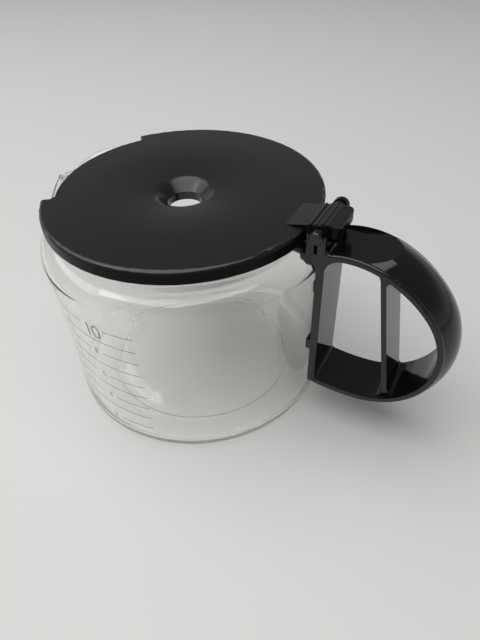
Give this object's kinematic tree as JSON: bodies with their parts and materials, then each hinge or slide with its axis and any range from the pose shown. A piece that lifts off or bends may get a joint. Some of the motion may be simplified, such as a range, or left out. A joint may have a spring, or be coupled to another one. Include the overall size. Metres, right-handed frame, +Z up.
{
  "type": "coffee jug",
  "caption": "Squat clear glass coffee jug with a pinched spout, black hinged lid with a drip dimple and thumb tab, and a D-shaped black handle on a steel neck band.",
  "frame": {"origin": "on the jug's axis, in the plane that its foot ring stands on", "axes": "+Z up along the jug's axis, +X towards the handle, -X towards the spout"},
  "size_m": [0.2234, 0.148, 0.1195],
  "materials": {
    "clear_glass": "clear polished glass",
    "steel": "brushed stainless strip",
    "handle_plastic": "glossy black moulding",
    "lid_plastic": "satin black moulding"
  },
  "bodies": {
    "jug": {"glass_jug": "clear_glass", "neck_band": "steel", "band_screw": "steel", "handle": "handle_plastic"},
    "lid": {"lid": "lid_plastic", "hinge_pin": "handle_plastic"}
  },
  "joints": [
    {"name": "lid_hinge", "type": "hinge", "parent": "jug", "child": "lid", "pos_m": [0.0752, 0, 0.1148], "axis": [0, 1, 0], "range_deg": [0, 90]}
  ]
}
